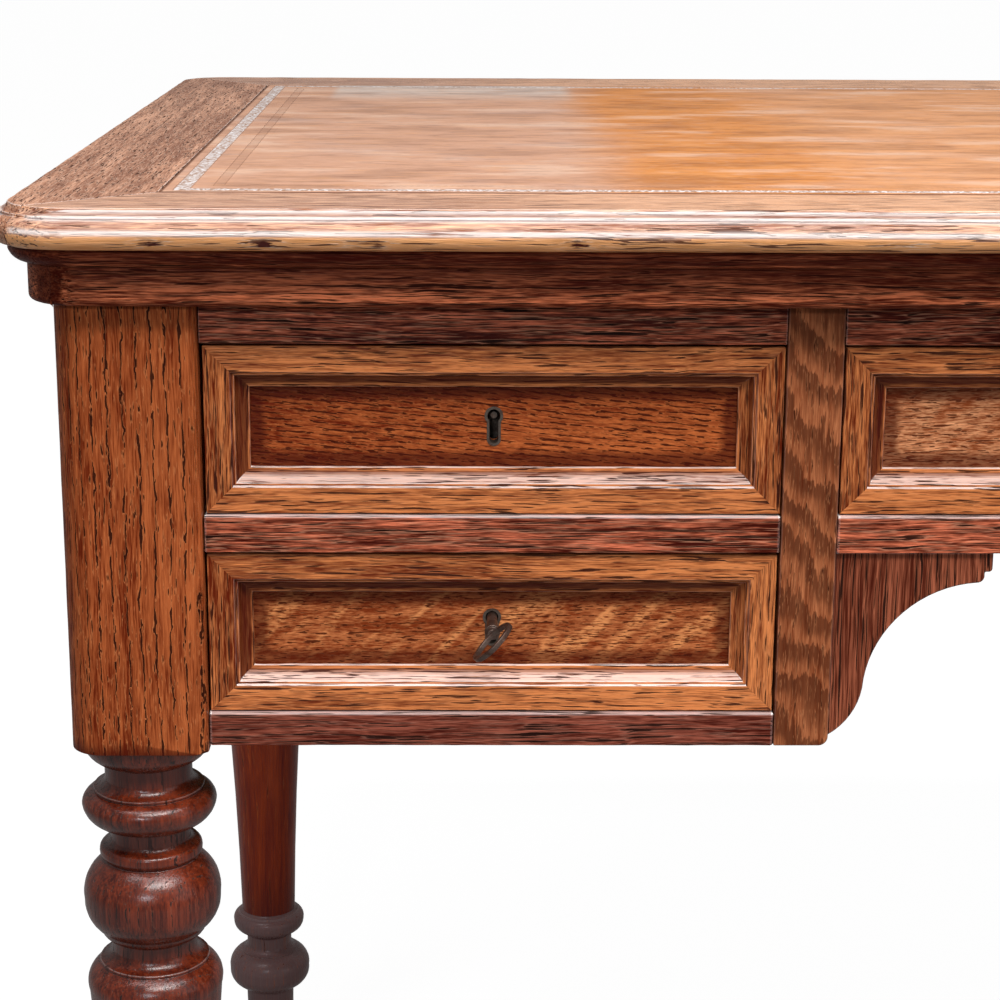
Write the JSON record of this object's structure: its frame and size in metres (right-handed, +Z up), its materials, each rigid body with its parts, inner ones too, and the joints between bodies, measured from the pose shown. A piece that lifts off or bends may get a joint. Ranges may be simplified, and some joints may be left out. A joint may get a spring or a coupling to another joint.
{
  "type": "writing desk",
  "caption": "Oak kneehole writing desk with a leather top, drawers at both sides and over the knees, and turned legs.",
  "frame": {"origin": "on the floor, under the centre of the object's outer box", "axes": "+X to the right seen from the sitter's side, +Y from the sitter to the back, +Z up"},
  "size_m": [1.342, 0.738, 0.77],
  "materials": {
    "leather": "waxed",
    "oak_top": "waxed",
    "oak_frieze": "waxed",
    "oak_frame": "waxed",
    "oak_drawer": "waxed",
    "oak_moulding": "waxed",
    "oak_leg": "waxed",
    "oak_inside": "plain",
    "lock_steel": "worn"
  },
  "bodies": {
    "root": {"leather_surface": "leather", "top_panel": "oak_inside", "top_front_rail": "oak_top", "top_right_rail": "oak_top", "top_back_rail": "oak_top", "top_left_rail": "oak_top", "frieze_front": "oak_frieze", "frieze_right": "oak_frieze", "frieze_back": "oak_frieze", "frieze_left": "oak_frieze", "front_brackets": "oak_frame", "back_brackets": "oak_frame", "back_panels": "oak_frame", "back_frame": "oak_frame", "left_side_panel": "oak_frame", "right_side_panel": "oak_frame", "front_left_leg": "oak_leg", "front_right_leg": "oak_leg", "back_right_leg": "oak_leg", "back_left_leg": "oak_leg", "left_stile": "oak_frame", "right_stile": "oak_frame", "left_partition": "oak_inside", "right_partition": "oak_inside", "upper_rails": "oak_frame", "middle_rails": "oak_frame", "bottom_rails": "oak_frame", "drawer_runners": "oak_inside", "top_buttons": "oak_inside"},
    "upper_left_drawer": {"upper_left_moulding": "oak_moulding", "upper_left_front": "oak_drawer", "upper_left_box": "oak_inside", "upper_left_bottom": "oak_inside", "upper_left_lock": "lock_steel"},
    "upper_left_lock_bolt": {"upper_left_bolt": "lock_steel"},
    "lower_left_drawer": {"lower_left_moulding": "oak_moulding", "lower_left_front": "oak_drawer", "lower_left_box": "oak_inside", "lower_left_bottom": "oak_inside", "lower_left_lock": "lock_steel"},
    "lower_left_lock_bolt": {"lower_left_bolt": "lock_steel"},
    "centre_drawer": {"centre_moulding": "oak_moulding", "centre_front": "oak_drawer", "centre_box": "oak_inside", "centre_bottom": "oak_inside", "centre_lock": "lock_steel"},
    "centre_lock_bolt": {"centre_bolt": "lock_steel"},
    "upper_right_drawer": {"upper_right_moulding": "oak_moulding", "upper_right_front": "oak_drawer", "upper_right_box": "oak_inside", "upper_right_bottom": "oak_inside", "upper_right_lock": "lock_steel"},
    "upper_right_lock_bolt": {"upper_right_bolt": "lock_steel"},
    "lower_right_drawer": {"lower_right_moulding": "oak_moulding", "lower_right_front": "oak_drawer", "lower_right_box": "oak_inside", "lower_right_bottom": "oak_inside", "lower_right_lock": "lock_steel"},
    "lower_right_lock_bolt": {"lower_right_bolt": "lock_steel"},
    "lock_key": {"key": "lock_steel"}
  },
  "joints": [
    {"name": "upper_left_drawer_slide", "type": "slide", "parent": "root", "child": "upper_left_drawer", "axis": [0, -1, 0], "range_m": [0, 0.4]},
    {"name": "upper_left_bolt_throw", "type": "slide", "parent": "upper_left_drawer", "child": "upper_left_lock_bolt", "axis": [0, 0, 1], "range_m": [0, 0.006]},
    {"name": "lower_left_drawer_slide", "type": "slide", "parent": "root", "child": "lower_left_drawer", "axis": [0, -1, 0], "range_m": [0, 0.4]},
    {"name": "lower_left_bolt_throw", "type": "slide", "parent": "lower_left_drawer", "child": "lower_left_lock_bolt", "axis": [0, 0, 1], "range_m": [0, 0.006]},
    {"name": "centre_drawer_slide", "type": "slide", "parent": "root", "child": "centre_drawer", "axis": [0, -1, 0], "range_m": [0, 0.4]},
    {"name": "centre_bolt_throw", "type": "slide", "parent": "centre_drawer", "child": "centre_lock_bolt", "axis": [0, 0, 1], "range_m": [0, 0.006]},
    {"name": "upper_right_drawer_slide", "type": "slide", "parent": "root", "child": "upper_right_drawer", "axis": [0, -1, 0], "range_m": [0, 0.4]},
    {"name": "upper_right_bolt_throw", "type": "slide", "parent": "upper_right_drawer", "child": "upper_right_lock_bolt", "axis": [0, 0, 1], "range_m": [0, 0.006]},
    {"name": "lower_right_drawer_slide", "type": "slide", "parent": "root", "child": "lower_right_drawer", "axis": [0, -1, 0], "range_m": [0, 0.4]},
    {"name": "lower_right_bolt_throw", "type": "slide", "parent": "lower_right_drawer", "child": "lower_right_lock_bolt", "axis": [0, 0, 1], "range_m": [0, 0.006]},
    {"name": "key_turn", "type": "hinge", "parent": "lower_left_drawer", "child": "lock_key", "pos_m": [-0.44225, -0.33, 0.5683], "axis": [0, 1, 0], "range_deg": [0, 180]}
  ],
  "couplings": [
    {"joint": "key_turn", "follows": "lower_left_bolt_throw", "rad_per_m": 523.5}
  ]
}
